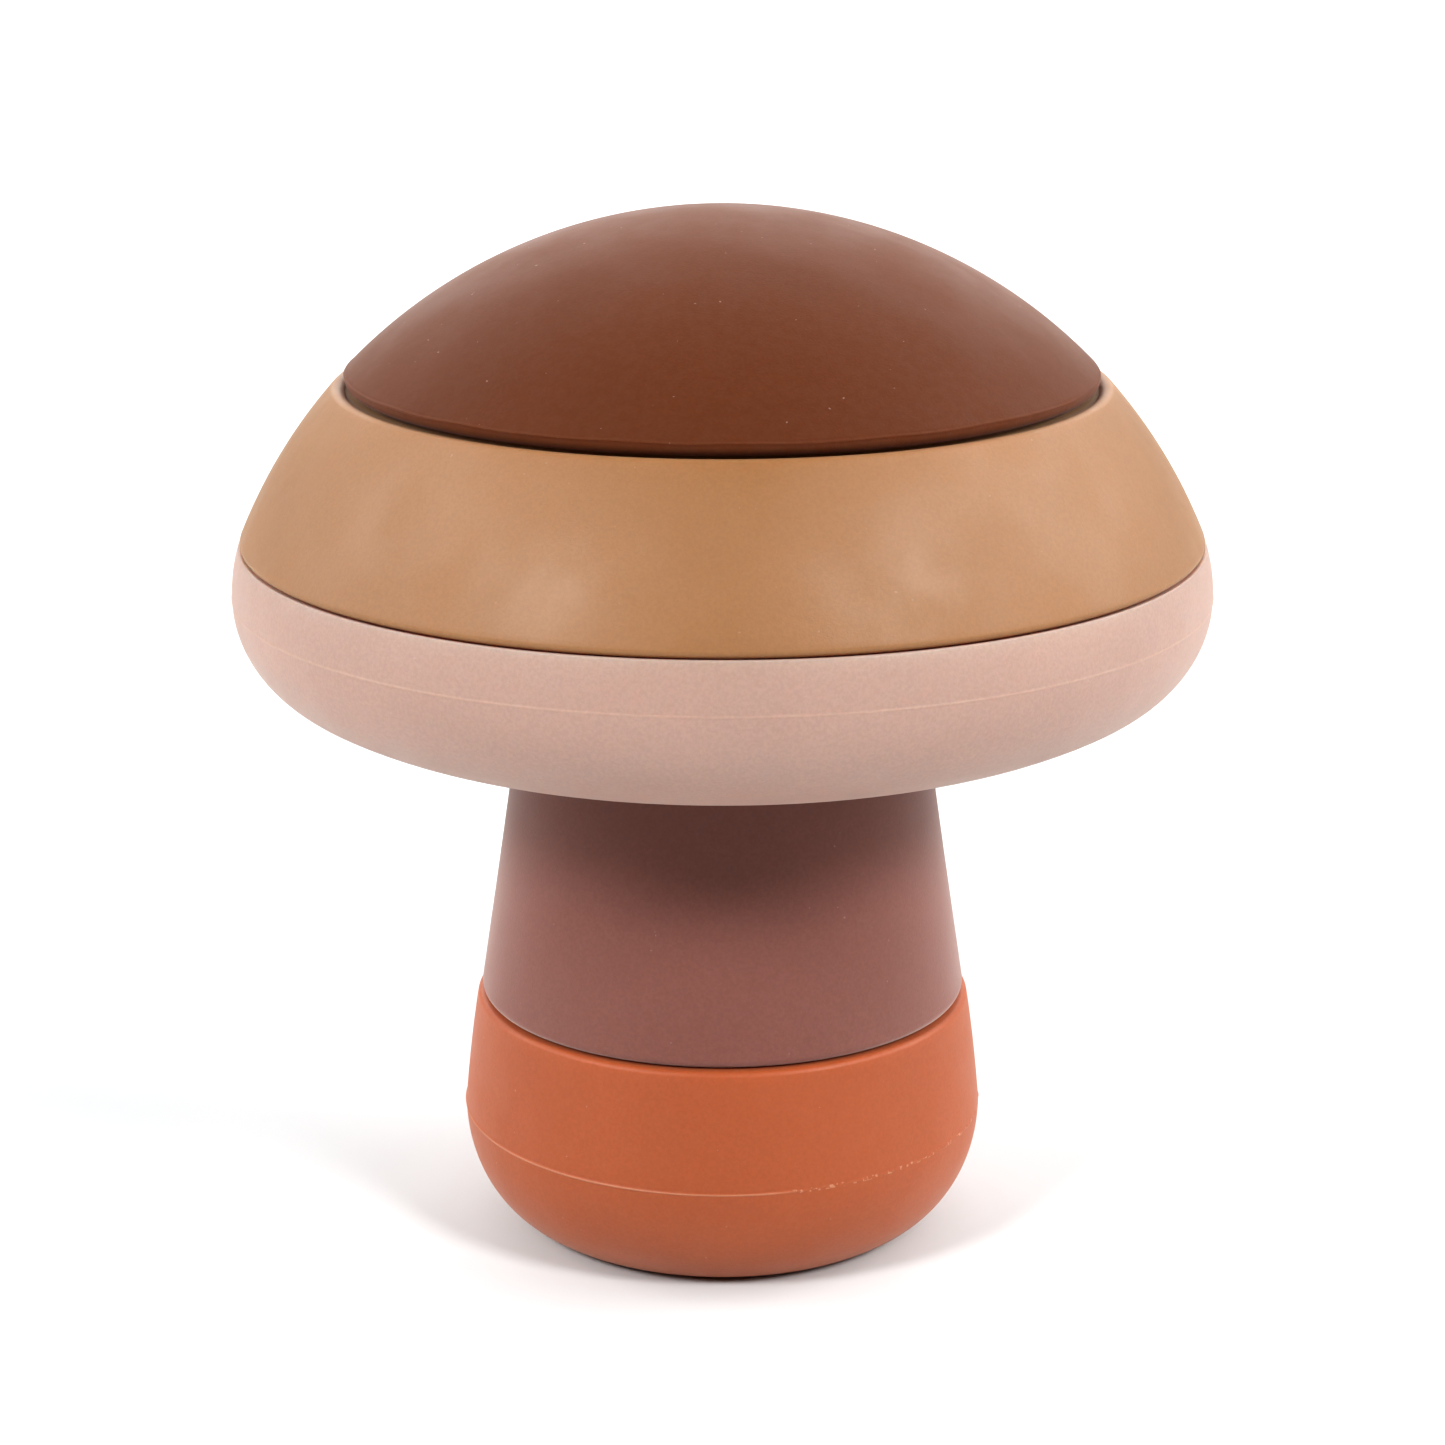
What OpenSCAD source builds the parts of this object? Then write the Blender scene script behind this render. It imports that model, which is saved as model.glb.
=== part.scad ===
// Mushroom stacking toy in five soft silicone pieces.
//
// Each piece is a round shell, cored out from below. A low round boss on top of each piece plugs into
// the socket in the underside of the next one, so the pieces lift straight off and stack again:
// base, stem, brim, band and dome, from the table up.
// The origin is the centre of the foot, on the table, and +Z is up.

/* [Cap] */
// Widest diameter of the cap, at the brim
cap_d = 105; // [100:0.5:110]
// Radius of the ball that the band and the dome are cut from
cap_ball_r = 55.8; // [55:0.1:58]
// Radius of the brim's side, below its widest ring
brim_side_r = 11.2; // [10.4:0.1:12]
// Radius of the brim's underside, where the side turns in towards the stem
brim_under_r = 30; // [28:0.5:32]
// Radius of the gentle arc above the brim's widest ring
brim_upper_r = 17; // [14:0.5:24]

/* [Stalk] */
// Widest diameter of the base, at its belly
base_d = 57.6; // [57:0.2:59]
// Diameter of the flat foot
foot_d = 41.6; // [40:0.2:43]
// Height of the belly above the table
belly_z = 13; // [12:0.2:14]
// Diameter of the base at its shoulder
base_top_d = 54.2; // [53:0.2:56]
// Diameter of the stem at its lower end
stem_bottom_d = 53.6; // [52:0.2:54]
// Diameter of the stem at its upper end
stem_top_d = 44; // [42:0.5:46]

/* [Heights] */
// Height of the base, without its boss
base_h = 26.2; // [24:0.2:30]
// Height of the stem, without its boss
stem_h = 32; // [28:0.2:36]
// Height of the brim, without its boss
brim_h = 19; // [18.4:0.2:20]
// Height of the band, without its boss
band_h = 16.8; // [15.8:0.2:17.8]
// Height of the dome
dome_h = 18.2; // [17.2:0.2:19.2]

/* [Fit] */
// Thickness of the silicone
wall = 4; // [3.4:0.1:4.2]
// Radial gap between a boss and its socket
fit_gap = 0.3; // [0.2:0.05:0.6]
// Gap above a boss when its piece is home
head_gap = 1; // [0.6:0.1:1.4]
// Height of the bosses on the base and the stem
stalk_boss_h = 7; // [5:0.5:8]
// Height of the bosses on the brim and the band
cap_boss_h = 5.5; // [4.5:0.5:6]

/* [Hidden] */
$fn = 180;

// Heights of the seams between the pieces
stem_z = base_h;
brim_z = stem_z + stem_h;
band_z = brim_z + brim_h;
dome_z = band_z + band_h;
top_z = dome_z + dome_h;

// The outer surfaces
cap_r = cap_d / 2;
base_r = base_d / 2;
foot_r = foot_d / 2;
foot_dip = 0.3;                          // the curve under the belly turns level this far below the table
belly_drop = belly_z + foot_dip;
brim_turn = -60;                         // where the brim's side becomes its underside
brim_side_x = cap_r - brim_side_r;
brim_under_x = brim_side_x + (brim_side_r - brim_under_r) * cos(brim_turn);
brim_under_z = brim_z + brim_under_r;
brim_widest_z = brim_under_z - (brim_side_r - brim_under_r) * sin(brim_turn);
ball_z = top_z - cap_ball_r;
band_step = 0.1;                         // the band's face lies this far inside the dome's
band_ball_r = cap_ball_r - band_step;
inner_ball_r = cap_ball_r - wall - band_step;

// Bosses, from the table up, each with its own radius
base_boss_r = 21;
stem_boss_r = 16.5;
brim_boss_r = 44.6;
band_boss_r = 30.2;

// Openings in the undersides
foot_mouth_r = foot_r - wall;            // the base's mouth, inside its foot ring
hub_extra = 1.6;                         // the brim's hub is this much thicker than the other walls
hub_r = stem_boss_r + fit_gap + wall + hub_extra;

// Corner rounding
edge_r = 0.6;                            // outer edges at the seams
lip_r = 1;                               // the dome's lower lip
boss_edge_r = 1.5;                       // top edge of a boss
root_r = 0.5;                            // inside corner where a boss meets its shoulder
core_r = 1.5;                            // corners inside the cored-out hollows
curl_lip_w = 2;                          // reach of the curl's free lip past its lowest ring
curl_lip_r = 1.6;                        // free lip of the brim's curl, nearly a full round
foot_edge_r = 1.2;                       // soft turn from the foot into the side of the base

corner_steps = 6;                        // chords in a rounded corner
curl_steps = 14;                         // chords in each arc of the brim's curl
curve_steps = 24;                        // chords in a long curve

// Points on an ellipse about [x, z] with radii rx and rz, from angle a to angle b
function curve(x, z, rx, rz, a, b, steps) =
    [for (i = [0:steps]) let (t = a + (b - a) * i / steps) [x + rx * cos(t), z + rz * sin(t)]];

// Vector v at length 1
function unit(v) = v / norm(v);

// Points that round the corner q, between the straight edges from p and to s, to radius r
function corner(p, q, s, r) =
    let (
        u = unit(p - q),
        v = unit(s - q),
        half = acos(u * v) / 2,
        centre = q + unit(u + v) * r / sin(half),
        start = q + u * r / tan(half) - centre,
        end = q + v * r / tan(half) - centre,
        a = atan2(start.y, start.x),
        turn = atan2(end.y, end.x) - a,
        sweep = turn > 180 ? turn - 360 : turn < -180 ? turn + 360 : turn
    )
    curve(centre.x, centre.y, r, r, a, a + sweep, corner_steps);

// An outline of [x, z, radius] corners, each one rounded to its own radius, or left sharp at 0
function rounded(path) =
    let (n = len(path))
    [for (i = [0:n - 1])
        let (
            p = path[(i + n - 1) % n],
            q = path[i],
            s = path[(i + 1) % n],
            flat_q = [q.x, q.y]
        )
        each q[2] > 0 ? corner([p.x, p.y], flat_q, [s.x, s.y], q[2]) : [flat_q]];

// A list of points as sharp corners of an outline
function sharp(points) = [for (p = points) [p.x, p.y, 0]];

// The same, without the first point, where the corner before it already stands there
function onward(points) = [for (i = [1:len(points) - 1]) [points[i].x, points[i].y, 0]];

// Centre of the round of radius r inside a circle about [x, z] of radius big, where the round
// touches that circle and a level face, and lies dz above that face (below it where dz is negative)
function round_centre(x, z, big, face_z, dz) =
    let (h = face_z + dz - z) [x + sqrt(pow(big - abs(dz), 2) - h * h), face_z + dz];

// Direction of point c from [x, z]
function direction(x, z, c) = atan2(c.y - z, c.x - x);

// The top of a piece: its boss, from the shoulder to the axis, then back along the hollow below it
function boss(r, z, h) = [
    [r, z, root_r],
    [r, z + h, boss_edge_r],
    [0, z + h, 0],
    [0, z + h - wall, 0],
    [r - wall, z + h - wall, core_r],
    [r - wall, z - wall, core_r]
];

module turned(outline) {
    rotate_extrude() polygon(rounded(outline));
}

// Base: a round-bottomed cup shape, standing on a flat foot ring and open below
module base() {
    foot_turn = -asin(belly_z / belly_drop);
    belly_w = (base_r - foot_r) / (1 - cos(foot_turn));
    belly_x = base_r - belly_w;
    inner_turn = -asin((belly_z - wall) / (belly_drop - wall));
    color([0.73, 0.34, 0.21]) turned(concat(
        [
            [foot_mouth_r, 0, edge_r],
            [foot_r, 0, foot_edge_r]
        ],
        onward(curve(belly_x, belly_z, belly_w, belly_drop, foot_turn, 0, curve_steps)),
        [[base_top_d / 2, stem_z, edge_r]],
        boss(base_boss_r, stem_z, stalk_boss_h),
        [[base_top_d / 2 - wall, stem_z - wall, core_r]],
        sharp(curve(belly_x, belly_z, belly_w - wall, belly_drop - wall, 0, inner_turn, curve_steps)),
        [[foot_mouth_r, wall, core_r]]
    ));
}

// Stem: a tapered sleeve over the base's boss
module stem() {
    socket_r = base_boss_r + fit_gap;
    socket_z = stem_z + stalk_boss_h + head_gap;
    color([0.50, 0.31, 0.27]) turned(concat(
        [
            [socket_r, stem_z, edge_r],
            [stem_bottom_d / 2, stem_z, edge_r],
            [stem_top_d / 2, brim_z, edge_r]
        ],
        boss(stem_boss_r, brim_z, stalk_boss_h),
        [
            [stem_top_d / 2 - wall, brim_z - wall, core_r],
            [socket_r, socket_z, 0]
        ]
    ));
}

// Brim: the curled edge of the cap. A hub under its deck takes the stem's boss, and the curl is
// hollow, open below between the hub and its own free lip
module cap_brim() {
    upper_x = cap_r - brim_upper_r;
    deck_z = band_z - wall;
    core_turn = -15;                     // the inside of the curl starts this far round its side
    inner_side = curve(brim_side_x, brim_widest_z, brim_side_r - wall, brim_side_r - wall,
        core_turn, brim_turn, corner_steps);
    top_edge = round_centre(upper_x, brim_widest_z, brim_upper_r, band_z, -edge_r);
    top_turn = direction(upper_x, brim_widest_z, top_edge);
    roof_z = band_z + cap_boss_h - wall;
    bore_r = stem_boss_r + fit_gap;
    color([0.83, 0.66, 0.60]) turned(concat(
        [
            [bore_r, brim_z, edge_r],
            [hub_r, brim_z, edge_r],
            [hub_r, roof_z, core_r],
            [brim_boss_r - wall, roof_z, core_r],
            [brim_boss_r - wall, deck_z, core_r],
            [inner_side[0].x, deck_z, core_r]
        ],
        sharp(inner_side),
        onward(curve(brim_under_x, brim_under_z, brim_under_r - wall, brim_under_r - wall,
            brim_turn, -90, curl_steps)),
        [
            [brim_under_x - curl_lip_w, brim_z + wall, curl_lip_r],
            [brim_under_x - curl_lip_w, brim_z, curl_lip_r]
        ],
        sharp(curve(brim_under_x, brim_under_z, brim_under_r, brim_under_r, -90, brim_turn, curl_steps)),
        onward(curve(brim_side_x, brim_widest_z, brim_side_r, brim_side_r, brim_turn, 0, curl_steps)),
        onward(curve(upper_x, brim_widest_z, brim_upper_r, brim_upper_r, 0, top_turn, corner_steps)),
        onward(curve(top_edge.x, top_edge.y, edge_r, edge_r, top_turn, 90, corner_steps)),
        [
            [brim_boss_r, band_z, root_r],
            [brim_boss_r, band_z + cap_boss_h, boss_edge_r],
            [0, band_z + cap_boss_h, 0],
            [0, roof_z, 0],
            [bore_r, roof_z, core_r]
        ]
    ));
}

// Band: the middle zone of the cap, a slice of the ball
module cap_band() {
    socket_r = brim_boss_r + fit_gap;
    socket_z = band_z + cap_boss_h + head_gap;
    low_edge = round_centre(0, ball_z, band_ball_r, band_z, edge_r);
    top_edge = round_centre(0, ball_z, band_ball_r, dome_z, -edge_r);
    low_turn = direction(0, ball_z, low_edge);
    top_turn = direction(0, ball_z, top_edge);
    inner_top = asin((dome_z - wall - ball_z) / inner_ball_r);
    inner_low = asin((socket_z - ball_z) / inner_ball_r);
    color([0.78, 0.52, 0.31]) turned(concat(
        [[socket_r, band_z, edge_r]],
        sharp(curve(low_edge.x, low_edge.y, edge_r, edge_r, -90, low_turn, corner_steps)),
        onward(curve(0, ball_z, band_ball_r, band_ball_r, low_turn, top_turn, curve_steps)),
        onward(curve(top_edge.x, top_edge.y, edge_r, edge_r, top_turn, 90, corner_steps)),
        boss(band_boss_r, dome_z, cap_boss_h),
        sharp(curve(0, ball_z, inner_ball_r, inner_ball_r, inner_top, inner_low, curve_steps)),
        [[socket_r, socket_z, root_r]]
    ));
}

// Dome: the top of the cap, with a soft rounded lip that sits just inside the band's edge
module cap_dome() {
    socket_r = band_boss_r + fit_gap;
    socket_z = dome_z + cap_boss_h + head_gap;
    lip = round_centre(0, ball_z, cap_ball_r, dome_z, lip_r);
    lip_turn = direction(0, ball_z, lip);
    inner_low = asin((socket_z - ball_z) / inner_ball_r);
    color([0.43, 0.22, 0.15]) turned(concat(
        [[socket_r, dome_z, edge_r]],
        sharp(curve(lip.x, lip.y, lip_r, lip_r, -90, lip_turn, corner_steps)),
        onward(curve(0, ball_z, cap_ball_r, cap_ball_r, lip_turn, 90, curve_steps)),
        sharp(curve(0, ball_z, inner_ball_r, inner_ball_r, 90, inner_low, curve_steps)),
        [[socket_r, socket_z, root_r]]
    ));
}

base();
stem();
cap_brim();
cap_band();
cap_dome();
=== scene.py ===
"""Looks of the mushroom stacking toy: five soft silicone pieces on a pale floor."""

import math

import bmesh
import bpy
import numpy as np
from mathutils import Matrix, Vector


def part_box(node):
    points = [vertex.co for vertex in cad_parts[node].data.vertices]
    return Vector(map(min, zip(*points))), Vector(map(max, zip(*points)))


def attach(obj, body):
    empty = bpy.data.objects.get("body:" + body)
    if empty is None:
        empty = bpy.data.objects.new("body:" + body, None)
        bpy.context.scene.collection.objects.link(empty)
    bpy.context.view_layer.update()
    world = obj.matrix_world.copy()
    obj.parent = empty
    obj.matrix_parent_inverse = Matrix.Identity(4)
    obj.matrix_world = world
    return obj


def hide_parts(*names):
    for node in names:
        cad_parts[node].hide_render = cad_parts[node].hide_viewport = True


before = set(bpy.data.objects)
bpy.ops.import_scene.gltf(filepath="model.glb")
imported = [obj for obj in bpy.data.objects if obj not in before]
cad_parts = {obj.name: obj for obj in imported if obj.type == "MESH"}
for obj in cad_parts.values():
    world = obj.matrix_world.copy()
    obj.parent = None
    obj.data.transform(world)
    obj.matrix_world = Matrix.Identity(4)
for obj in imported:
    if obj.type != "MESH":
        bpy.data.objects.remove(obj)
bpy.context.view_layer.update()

MM = 0.001

# ---------------------------------------------------------------- sizes, in millimetres, from the frame
low = {n: [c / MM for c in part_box(n)[0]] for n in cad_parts}
high = {n: [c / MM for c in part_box(n)[1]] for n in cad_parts}

stem_z = low["stem"][2]
brim_z = low["cap_brim"][2]
band_z = low["cap_band"][2]
dome_z = low["cap_dome"][2]
top_z = high["cap_dome"][2]
cap_r = high["cap_brim"][0]
base_r = high["base"][0]
stalk_boss_h = high["base"][2] - stem_z
cap_boss_h = high["cap_brim"][2] - band_z

wall = 4.0
fit_gap = 0.3
head_gap = 1.0
cap_ball_r = 55.8
ball_z = top_z - cap_ball_r
band_ball_r = cap_ball_r - 0.1
inner_ball_r = cap_ball_r - wall - 0.1
base_boss_r, stem_boss_r, brim_boss_r, band_boss_r = 21.0, 16.5, 44.6, 30.2

base_line_z = 12.95    # height of the parting line round the base

# radii of the rounded corners
MOUTH_R = 0.6          # the mouth of a socket or a hollow
SOCKET_R = 0.5         # the inner end of a wide socket
FOOT_R = 0.5           # where a boss meets its shoulder
SHELL_R = 1.5          # the top of a boss, and the corners of the hollows
GROOVE_R = 0.15        # the grooves under the seams

TURNS = 432            # steps round a piece
FINE = 9               # chords in a rounded corner
LONGEST = 2.0          # longest step along an outline


# ---------------------------------------------------------------- outlines
def arc(x, z, rx, rz, a, b, n):
    """Points on an ellipse about (x, z), from angle a to angle b in degrees."""
    t = np.radians(np.linspace(a, b, n + 1))
    return [(x + rx * math.cos(k), z + rz * math.sin(k)) for k in t]


def corner(p, q, s, r, n=FINE):
    """The corner q between p and s, rounded to radius r."""
    p, q, s = (np.array(v[:2], float) for v in (p, q, s))
    u, v = (p - q) / np.linalg.norm(p - q), (s - q) / np.linalg.norm(s - q)
    half = math.acos(np.clip(u @ v, -1, 1)) / 2
    w = (u + v) / np.linalg.norm(u + v)
    c = q + w * r / math.sin(half)
    a, b = q + u * r / math.tan(half) - c, q + v * r / math.tan(half) - c
    t0 = math.degrees(math.atan2(a[1], a[0]))
    t = (math.degrees(math.atan2(b[1], b[0])) - t0 + 180) % 360 - 180
    return arc(c[0], c[1], r, r, t0, t0 + t, n)


def rounded(path):
    """Corners (x, z, r) become rounds; bare points (x, z) stay as they are."""
    out, n = [], len(path)
    for i, q in enumerate(path):
        if len(q) == 3 and q[2] > 0:
            out += corner(path[i - 1], q, path[(i + 1) % n], q[2])
        else:
            out.append((q[0], q[1]))
    return out


def round_centre(x, z, big, face_z, dz):
    """The centre of the small round, radius |dz|, where an arc about (x, z) ends on the level face_z."""
    h = face_z + dz - z
    return x + math.sqrt((big - abs(dz)) ** 2 - h * h), face_z + dz


def direction(x, z, c):
    """The angle in degrees at which the point c is seen from (x, z)."""
    return math.degrees(math.atan2(c[1] - z, c[0] - x))


def boss(r, z, h):
    """A piece's boss, up and over from its shoulder to the axis, then back along the hollow below."""
    return [(r, z, FOOT_R), (r, z + h, SHELL_R), (0, z + h), (0, z + h - wall),
            (r - wall, z + h - wall, SHELL_R), (r - wall, z - wall, SHELL_R)]


def spaced(points):
    """Extra points, so that no step along the outline is longer than LONGEST."""
    out = []
    for i, a in enumerate(points):
        b = points[(i + 1) % len(points)]
        out.append(a)
        if a[0] == 0 and b[0] == 0:
            continue
        n = int(math.hypot(b[0] - a[0], b[1] - a[1]) / LONGEST) + 1
        out += [(a[0] + (b[0] - a[0]) * k / n, a[1] + (b[1] - a[1]) * k / n) for k in range(1, n)]
    return out


# ---------------------------------------------------------------- lathe
def waves(theta, seed, low_n, high_n):
    """A smooth wander round the circle between -1 and 1, the same on every run."""
    rng = np.random.default_rng(seed)
    total, norm = np.zeros_like(theta), 0.0
    for n in range(low_n, high_n + 1):
        a = rng.uniform(0.4, 1.0) / math.sqrt(n)
        total += a * np.cos(n * theta + rng.uniform(0, 2 * math.pi))
        norm += a
    return total / norm * 1.6


def lathe(name, outline, shape=None):
    """Turns a closed outline about the Z axis. shape(theta, r, z) returns the moved (r, z)."""
    theta = np.linspace(0, 2 * math.pi, TURNS, endpoint=False)
    verts, rings = [], []
    for r, z in outline:
        if r < 1e-6:
            rings.append([len(verts)])
            verts.append((0.0, 0.0, z * MM))
            continue
        rr, zz = np.full(TURNS, r), np.full(TURNS, z)
        if shape:
            rr, zz = shape(theta, rr, zz)
        rings.append(list(range(len(verts), len(verts) + TURNS)))
        verts += zip(rr * np.cos(theta) * MM, rr * np.sin(theta) * MM, zz * MM)
    faces = []
    for i, a in enumerate(rings):
        b = rings[(i + 1) % len(rings)]
        if len(a) == 1 and len(b) == 1:
            continue
        for k in range(TURNS):
            j = (k + 1) % TURNS
            if len(a) == 1:
                faces.append((a[0], b[j], b[k]))
            elif len(b) == 1:
                faces.append((a[k], a[j], b[0]))
            else:
                faces.append((a[k], a[j], b[j], b[k]))
    mesh = bpy.data.meshes.new(name)
    mesh.from_pydata([tuple(map(float, v)) for v in verts], [], faces)
    mesh.shade_smooth()
    mesh.validate()
    o = bpy.data.objects.new(name, mesh)
    bpy.context.collection.objects.link(o)
    return o


def bump(d, w):
    """A soft ridge: 1 at distance 0, gone by about 2 w."""
    return np.exp(-(d / w) ** 2)


# ---------------------------------------------------------------- the five outlines
SOFT = 0.07            # room kept inside the outer size for the moulding's small unevenness


def base_outline():
    belly, foot_r, top_r = 13.0, 20.8, 27.1
    foot_dip = 0.3                             # the side's curve turns level this far below the table
    foot_edge_r = 1.2
    bow, bow_steps = 0.12, 40
    drop = belly + foot_dip
    foot_turn = -math.degrees(math.asin(belly / drop))
    w = (base_r - SOFT - foot_r) / (1 - math.cos(math.radians(foot_turn)))
    x = base_r - SOFT - w
    inner_turn = -math.degrees(math.asin((belly - wall) / (drop - wall)))
    side = [p for p in arc(x, belly, w, drop, foot_turn, 0, 34)[1:] if p[1] < belly - 1.2]
    # close steps across the parting line
    for z in np.arange(belly - 1.15, belly - 0.01, 0.05):
        side.append((x + w * math.sqrt(1 - ((z - belly) / drop) ** 2), z))
    # a faintly bowed wall up to the shoulder
    for k in range(bow_steps):
        z = belly + (stem_z - belly) * (k / bow_steps) ** 1.6
        s = (z - belly) / (stem_z - belly)
        side.append((base_r - SOFT + (top_r - base_r + SOFT) * s + bow * math.sin(math.pi * s), z))
    side = [p for p in side if p[1] < stem_z - 1.4]
    # the shoulder falls away a little outwards, which leaves a dark line at the seam
    shoulder = [(top_r, stem_z - 0.22, 0.7), (top_r - 2.0, stem_z - 0.1, 0.5), (top_r - 2.6, stem_z, 0.3)]
    hollow = arc(x, belly, w - wall, drop - wall, 0, inner_turn, 24)
    return rounded([(foot_r - wall, 0, MOUTH_R), (foot_r, 0, foot_edge_r)] + side + shoulder
                   + boss(base_boss_r, stem_z, stalk_boss_h) + [(top_r - wall, stem_z - wall, SHELL_R)]
                   + hollow + [(foot_r - wall, wall, SHELL_R)])


def stem_outline():
    socket = base_boss_r + fit_gap
    low_r, top_r, waist = 26.78, 22.0, 0.05
    low_edge_r, top_edge_r = 0.9, 0.6
    side = []
    for s in np.linspace(0.04, 0.97, 30):
        z = stem_z + (brim_z - stem_z) * s
        side.append((low_r + (top_r - low_r) * s - waist * math.sin(math.pi * s), z))
    return rounded([(socket, stem_z, MOUTH_R), (low_r, stem_z, low_edge_r)] + side
                   + [(top_r, brim_z, top_edge_r)] + boss(stem_boss_r, brim_z, stalk_boss_h)
                   + [(top_r - wall, brim_z - wall, SHELL_R), (socket, stem_z + stalk_boss_h + head_gap)])


def brim_outline():
    """The brim's outline, and the height of its widest place."""
    side_r, under_r, upper_r, turn = 11.2, 30.0, 17.0, -60
    hub_extra, curl_mouth, curl_edge_r = 1.6, 2, 1.6
    edge, groove = 0.25, 0.25
    out_r = cap_r - SOFT
    sx = out_r - side_r
    ux = sx + (side_r - under_r) * math.cos(math.radians(turn))
    uz = brim_z + under_r
    wz = uz - (side_r - under_r) * math.sin(math.radians(turn))
    upper_x = out_r - upper_r
    deck, roof, top = band_z - wall, band_z + cap_boss_h - wall, band_z + cap_boss_h
    bore = stem_boss_r + fit_gap
    hub = bore + wall + hub_extra
    hollow_r = brim_boss_r - wall
    te = round_centre(upper_x, wz, upper_r, band_z, -edge)
    tt = direction(upper_x, wz, te)
    curl = arc(sx, wz, side_r - wall, side_r - wall, -15, turn, 8)
    inside = ([(bore, brim_z, MOUTH_R), (hub, brim_z, MOUTH_R), (hub, roof, SHELL_R),
               (hollow_r, roof, SHELL_R), (hollow_r, deck, SHELL_R), (curl[0][0], deck, SHELL_R)]
              + curl + arc(ux, uz, under_r - wall, under_r - wall, turn, -90, 14)[1:]
              + [(ux - curl_mouth, brim_z + wall, curl_edge_r), (ux - curl_mouth, brim_z, curl_edge_r)])
    # closer steps near the parting line, for one millimetre below it and 3.4 degrees above it
    below, above = math.degrees(1.0 / side_r), 3.4
    outside = (arc(ux, uz, under_r, under_r, -90, turn, 20)
               + arc(sx, wz, side_r, side_r, turn, -below, 26)[1:]
               + arc(sx, wz, side_r, side_r, -below, 0, 16)[1:]
               + arc(upper_x, wz, upper_r, upper_r, 0, above, 16)[1:]
               + arc(upper_x, wz, upper_r, upper_r, above, tt, 8)[1:]
               + arc(te[0], te[1], edge, edge, tt, 90, 7)[1:])
    # the deck dips a little under the band's lower edge, which leaves a dark line there
    dip = [(te[0] - 0.5, band_z - groove, GROOVE_R), (te[0] - 2.2, band_z - groove, GROOVE_R),
           (te[0] - 2.6, band_z, GROOVE_R)]
    return rounded(inside + outside + dip
                   + [(brim_boss_r, band_z, FOOT_R), (brim_boss_r, top, SHELL_R), (0, top), (0, roof),
                      (bore, roof, SHELL_R)]), wz


def band_outline():
    socket, sz = brim_boss_r + fit_gap, band_z + cap_boss_h + head_gap
    edge, shoulder, groove = 0.6, 1.0, 0.5
    le = round_centre(0, ball_z, band_ball_r, band_z, edge)
    te = round_centre(0, ball_z, band_ball_r, dome_z, -shoulder)
    lt, tt = direction(0, ball_z, le), direction(0, ball_z, te)
    it = math.degrees(math.asin((dome_z - wall - ball_z) / inner_ball_r))
    il = math.degrees(math.asin((sz - ball_z) / inner_ball_r))
    # the shoulder rolls down under the dome's lip, which leaves a dark line there
    roll = (arc(te[0], te[1], shoulder, shoulder, tt, 150, 20)[1:]
            + [(te[0] - 2.0, dome_z - groove, 0.1), (te[0] - 2.4, dome_z, GROOVE_R)])
    return rounded([(socket, band_z, MOUTH_R)] + arc(le[0], le[1], edge, edge, -90, lt, 8)
                   + arc(0, ball_z, band_ball_r, band_ball_r, lt, tt, 36)[1:] + roll
                   + boss(band_boss_r, dome_z, cap_boss_h)
                   + arc(0, ball_z, inner_ball_r, inner_ball_r, it, il, 12) + [(socket, sz, SOCKET_R)])


def dome_outline():
    socket, sz = band_boss_r + fit_gap, dome_z + cap_boss_h + head_gap
    lip = 1.0
    fine_turn = 2.4                            # closer steps for this many degrees above the lip
    lc = round_centre(0, ball_z, cap_ball_r, dome_z, lip)
    lt = direction(0, ball_z, lc)
    il = math.degrees(math.asin((sz - ball_z) / inner_ball_r))
    return rounded([(socket, dome_z, MOUTH_R)] + arc(lc[0], lc[1], lip, lip, -90, lt, 36)
                   + arc(0, ball_z, cap_ball_r, cap_ball_r, lt, lt + fine_turn, 24)[1:]
                   + arc(0, ball_z, cap_ball_r, cap_ball_r, lt + fine_turn, 90, 50)[1:]
                   + arc(0, ball_z, inner_ball_r, inner_ball_r, 90, il, 24) + [(socket, sz, SOCKET_R)])


brim, brim_widest = brim_outline()


# ---------------------------------------------------------------- materials
DUST = (0.80, 0.74, 0.68)
# colour of the paler line painted along a moulding's flash: a painted highlight
FLASH_HIGHLIGHT = (0.66, 0.42, 0.28)


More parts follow.
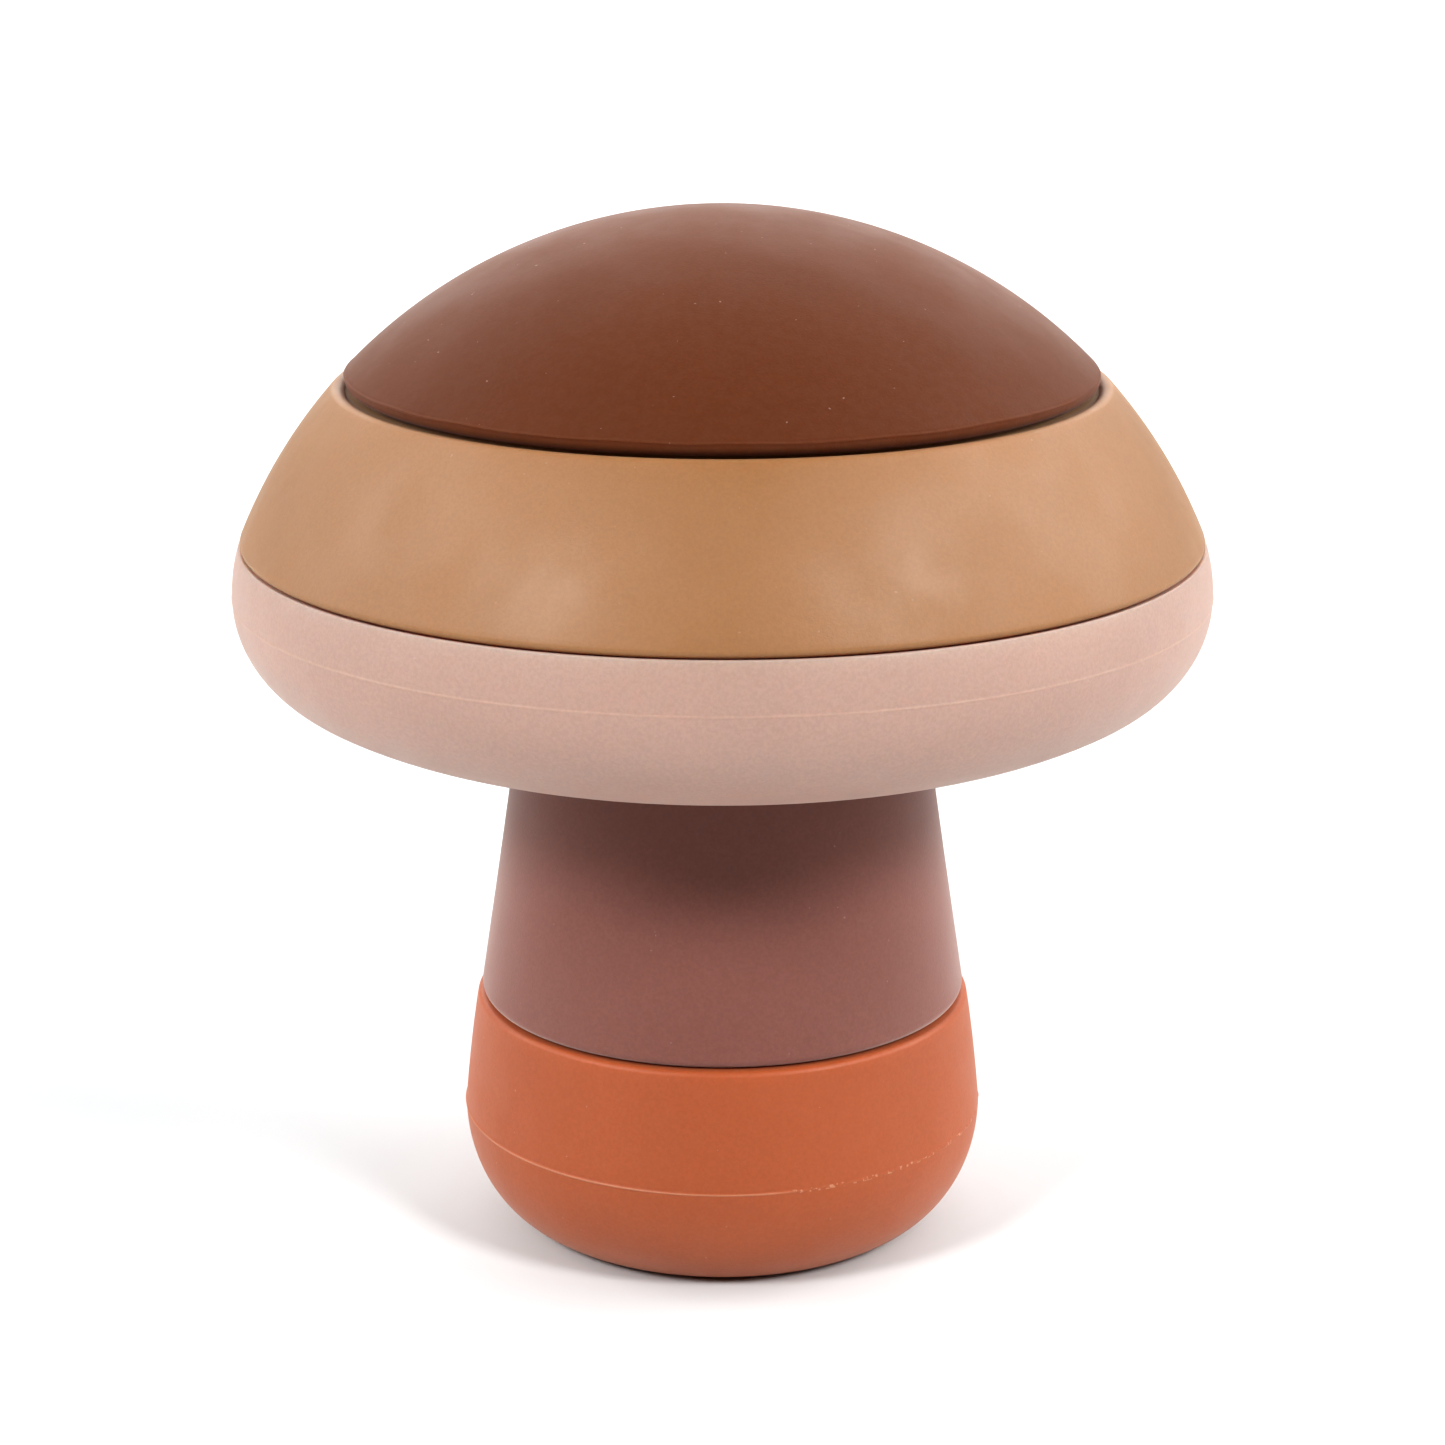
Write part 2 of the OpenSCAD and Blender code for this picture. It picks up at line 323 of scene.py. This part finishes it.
def material(name, tone, dark, light, rough, gloss, sheen, speck, depth, flash_highlight):
    """Matte silicone: fine grain, faint blotches, a little dust, and a painted highlight along a
    moulding's flash line.

    flash_highlight is (height, half width, amount, x from which the painted highlight is broken), all but
    the amount in millimetres. depth, also in millimetres, is how far light goes into the silicone.
    """
    m = bpy.data.materials.new(name)
    m.use_nodes = True
    nt = m.node_tree
    n, link = nt.nodes, nt.links.new
    bsdf = n["Principled BSDF"]
    coord = n.new("ShaderNodeTexCoord").outputs["Object"]

    def noise(scale, detail, roughness=0.5):
        t = n.new("ShaderNodeTexNoise")
        t.inputs["Scale"].default_value = scale
        t.inputs["Detail"].default_value = detail
        t.inputs["Roughness"].default_value = roughness
        link(coord, t.inputs["Vector"])
        return t.outputs["Fac"]

    def ramp(value, lo, hi, to_lo=0.0, to_hi=1.0):
        r = n.new("ShaderNodeMapRange")
        r.interpolation_type = "SMOOTHSTEP"
        for k, v in (("From Min", lo), ("From Max", hi), ("To Min", to_lo), ("To Max", to_hi)):
            r.inputs[k].default_value = v
        link(value, r.inputs["Value"])
        return r.outputs["Result"]

    def mix(fac, a, b, blend="MIX"):
        x = n.new("ShaderNodeMix")
        x.data_type = "RGBA"
        x.blend_type = blend
        for v, s in ((fac, x.inputs[0]), (a, x.inputs[6]), (b, x.inputs[7])):
            if isinstance(v, bpy.types.NodeSocket):
                link(v, s)
            else:
                s.default_value = v if isinstance(v, float) else (*v, 1.0)
        return x.outputs[2]

    def maths(op, a, b=0.0):
        x = n.new("ShaderNodeMath")
        x.operation = op
        for v, s in ((a, x.inputs[0]), (b, x.inputs[1])):
            if isinstance(v, bpy.types.NodeSocket):
                link(v, s)
            else:
                s.default_value = v
        return x.outputs[0]

    blotch = ramp(noise(55.0, 3.0), 0.32, 0.68)
    mottle = ramp(noise(900.0, 2.0), 0.35, 0.65, 0.0, 0.12)
    colour = mix(blotch, dark, tone)
    colour = mix(mottle, colour, light)
    fleck = ramp(noise(2600.0, 2.0, 0.7), 0.32, 0.68, 0.955, 1.045)
    colour = mix(1.0, colour, fleck, "MULTIPLY")
    dust = ramp(noise(1500.0, 1.0), 0.785, 0.81, 0.0, speck)
    colour = mix(dust, colour, DUST)
    # a paler line painted along the moulding's flash: painted highlight where the flash ridge catches the
    # light
    if flash_highlight:
        level, width, amount, broken_from = flash_highlight
        xyz = n.new("ShaderNodeSeparateXYZ")
        link(coord, xyz.inputs[0])
        off = maths("ABSOLUTE", maths("SUBTRACT", xyz.outputs[2], level * MM))
        line = ramp(off, width * MM * 0.4, width * MM, amount, 0.0)
        # the painted highlight is whole on one side, and only crumbs of it are left on the other
        whole = ramp(xyz.outputs[0], (broken_from - 2) * MM, (broken_from + 2) * MM, 1.0, 0.0)
        broken = ramp(xyz.outputs[0], (broken_from - 2) * MM, (broken_from + 2) * MM)
        crumbs = maths("MULTIPLY", ramp(noise(2300.0, 1.0), 0.56, 0.62), broken)
        near = ramp(off, width * MM, width * MM * 2.0, amount * 1.7, 0.0)
        line = maths("MAXIMUM", maths("MULTIPLY", line, whole), maths("MULTIPLY", near, crumbs))
        colour = mix(line, colour, FLASH_HIGHLIGHT)
    link(colour, bsdf.inputs["Base Color"])
    patchy = ramp(noise(140.0, 4.0), 0.3, 0.7, rough - 0.05, rough + 0.05)
    link(maths("MAXIMUM", patchy, dust), bsdf.inputs["Roughness"])
    bsdf.inputs["Sheen Weight"].default_value = sheen
    bsdf.inputs["Sheen Roughness"].default_value = 0.45
    bsdf.inputs["Sheen Tint"].default_value = (1.0, 0.93, 0.88, 1.0)
    bsdf.inputs["Specular IOR Level"].default_value = gloss
    bsdf.inputs["Subsurface Weight"].default_value = 0.45
    bsdf.inputs["Subsurface Radius"].default_value = (1.0, 0.45, 0.25)
    bsdf.inputs["Subsurface Scale"].default_value = depth * MM

    grain = n.new("ShaderNodeBump")
    grain.inputs["Strength"].default_value = 0.35
    grain.inputs["Distance"].default_value = 0.00004
    link(noise(4200.0, 2.0, 0.6), grain.inputs["Height"])
    soft = n.new("ShaderNodeBump")
    soft.inputs["Strength"].default_value = 0.1
    soft.inputs["Distance"].default_value = 0.0003
    link(noise(160.0, 2.0), soft.inputs["Height"])
    link(grain.outputs[0], soft.inputs["Normal"])
    link(soft.outputs[0], bsdf.inputs["Normal"])
    return m


def linear(rgb):
    """sRGB 0-255 to the shader's linear colour."""
    shares = [c / 255 for c in rgb]
    return tuple(c / 12.92 if c <= 0.04045 else ((c + 0.055) / 1.055) ** 2.4 for c in shares)


def silicone(name, rgb, rough, gloss, sheen, speck, depth, flash_highlight=None):
    tone = linear(rgb)
    dark = tuple(c * 0.95 for c in tone)
    light = tuple(c + (0.5 - c) * 0.05 for c in tone)
    return material(name, tone, dark, light, rough, gloss, sheen, speck, depth, flash_highlight)


# colour, roughness, gloss, sheen, dust, depth of the light inside it, then the painted highlight along
# the flash line if there is any
TERRACOTTA = silicone("terracotta_silicone", (164, 84, 40), 0.52, 0.5, 0.12, 0.1, 4,
                      (base_line_z, 0.14, 0.22, 7))
MAUVE = silicone("mauve_brown_silicone", (129, 85, 76), 0.6, 0.1, 0.6, 0.1, 4)
PINK = silicone("dusty_pink_silicone", (175, 144, 131), 0.54, 0.75, 0.1, 0.06, 10,
                (brim_widest, 0.16, 0.14, cap_r + 9))
OCHRE = silicone("ochre_silicone", (150, 105, 60), 0.53, 0.7, 0.12, 0.07, 5)
CHESTNUT = silicone("chestnut_silicone", (97, 50, 22), 0.58, 0.11, 0.13, 0.16, 4)

# ---------------------------------------------------------------- pieces
def uneven(seed, size):
    """The small unevenness of a soft moulding, always inwards of the outer size."""
    def f(theta, r, z):
        return r + size * (waves(theta + z[0] * 0.004, seed, 2, 5) - 1) * 0.5, z
    return f


def base_shape(theta, r, z):
    r, z = uneven(3, 0.05)(theta, r, z)
    # flash along the mould's parting line, whole on the front left and broken into crumbs to the right
    if r[0] > 27.5:                            # only the outer wall near the belly
        front = np.degrees((theta + math.pi / 2 + math.pi) % (2 * math.pi) - math.pi)
        whole = 1 / (1 + np.exp((front - 14) / 4))
        crumbs = np.clip(waves(theta, 11, 40, 60) * 1.4, 0, 1) ** 0.7
        line = np.clip(whole * (0.8 + 0.2 * waves(theta, 5, 9, 30)) + (1 - whole) * crumbs, 0, 1)
        r = r + 0.14 * line * bump(z - base_line_z, 0.12)
    return r, z


def brim_shape(theta, r, z):
    r, z = uneven(7, 0.05)(theta, r, z)
    # a fine ridge along the parting line, round the widest place
    if r[0] > 50:                              # only the outer wall
        r = r + 0.07 * (0.8 + 0.2 * waves(theta, 8, 6, 24)) * bump(z - brim_widest, 0.13)
    return r, z


def band_shape(theta, r, z):
    return uneven(13, 0.06)(theta, r, z)


def dome_shape(theta, r, z):
    r, z = uneven(17, 0.05)(theta, r, z)
    # thin wandering flash round the lower edge
    near = bump(z - (dome_z + 1.35 + 0.16 * waves(theta, 23, 5, 30)), 0.12)
    if r[0] > 36 and near.max() > 1e-3:
        front_left = 0.5 + 0.5 * np.cos(theta + math.pi / 2 + 0.6)
        r = r + 0.22 * (0.2 + 0.8 * front_left) * (0.7 + 0.3 * waves(theta, 19, 8, 40)) * near
    return r, z


made = [
    ("base_silicone", "base", base_outline(), base_shape, TERRACOTTA, "terracotta_silicone"),
    ("stem_silicone", "stem", stem_outline(), uneven(5, 0.05), MAUVE, "mauve_brown_silicone"),
    ("cap_brim_silicone", "cap_brim", brim, brim_shape, PINK, "dusty_pink_silicone"),
    ("cap_band_silicone", "cap_band", band_outline(), band_shape, OCHRE, "ochre_silicone"),
    ("cap_dome_silicone", "cap_dome", dome_outline(), dome_shape, CHESTNUT, "chestnut_silicone"),
]
for name, node, outline, shape, mat, slot in made:
    o = lathe(name, spaced(outline), shape)
    o.data.materials.append(mat)
    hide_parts(node)
    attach(o, node)

# ---------------------------------------------------------------- floor
FLOOR_HALF = 40.0      # metres from the centre to each edge
FLOOR_SINK = 0.00002   # metres below the foot, so that the two faces don't lie in one plane
bm = bmesh.new()
bmesh.ops.create_grid(bm, x_segments=8, y_segments=8, size=FLOOR_HALF)
mesh = bpy.data.meshes.new("floor")
bm.to_mesh(mesh)
bm.free()
floor = bpy.data.objects.new("floor", mesh)
floor.location.z = -FLOOR_SINK
bpy.context.collection.objects.link(floor)
paper = bpy.data.materials.new("floor_paper")
paper.use_nodes = True
paper_inputs = paper.node_tree.nodes["Principled BSDF"].inputs
paper_inputs["Base Color"].default_value = (0.66, 0.678, 0.685, 1)
paper_inputs["Roughness"].default_value = 0.9
paper_inputs["Specular IOR Level"].default_value = 0.1
floor.data.materials.append(paper)


# ---------------------------------------------------------------- light
def softbox(name, azimuth, elevation, spread, strength):
    """A distant soft light, all angles in degrees. Azimuth 0 is behind the camera and 90 on its right."""
    lamp = bpy.data.lights.new(name, "SUN")
    lamp.energy = strength
    lamp.angle = math.radians(spread)
    o = bpy.data.objects.new(name, lamp)
    a, e = math.radians(azimuth), math.radians(elevation)
    towards = Vector((math.sin(a) * math.cos(e), -math.cos(a) * math.cos(e), math.sin(e)))
    o.rotation_euler = towards.to_track_quat("Z", "Y").to_euler()
    bpy.context.collection.objects.link(o)


softbox("key left", -45, 38, 14, 2.16)
softbox("key right", 45, 38, 14, 2.19)
softbox("side left", -90, 30, 46, 1.1)
softbox("side right", 90, 32, 46, 1.38)
softbox("rear left", -115, 30, 56, 1.15)
softbox("rear right", 115, 34, 56, 1.5)
softbox("backdrop", 180, 30, 60, 2.2)

world = bpy.data.worlds.new("studio")
world.use_nodes = True
background = world.node_tree.nodes["Background"].inputs
background["Color"].default_value = (1, 1, 1, 1)
background["Strength"].default_value = 0.01
bpy.context.scene.world = world
bpy.context.scene.view_settings.view_transform = "Standard"
bpy.context.scene.view_settings.gamma = 1 / 1.2

# ---------------------------------------------------------------- camera
LOOKS_DOWN = 16.28     # degrees
camera = bpy.data.cameras.new("camera")
camera.sensor_width = 36
camera.lens = 87.24
camera_object = bpy.data.objects.new("camera", camera)
camera_object.location = (0, -0.3666, 0.1632)
camera_object.rotation_euler = (math.radians(90 - LOOKS_DOWN), 0, 0)
bpy.context.collection.objects.link(camera_object)
bpy.context.scene.camera = camera_object
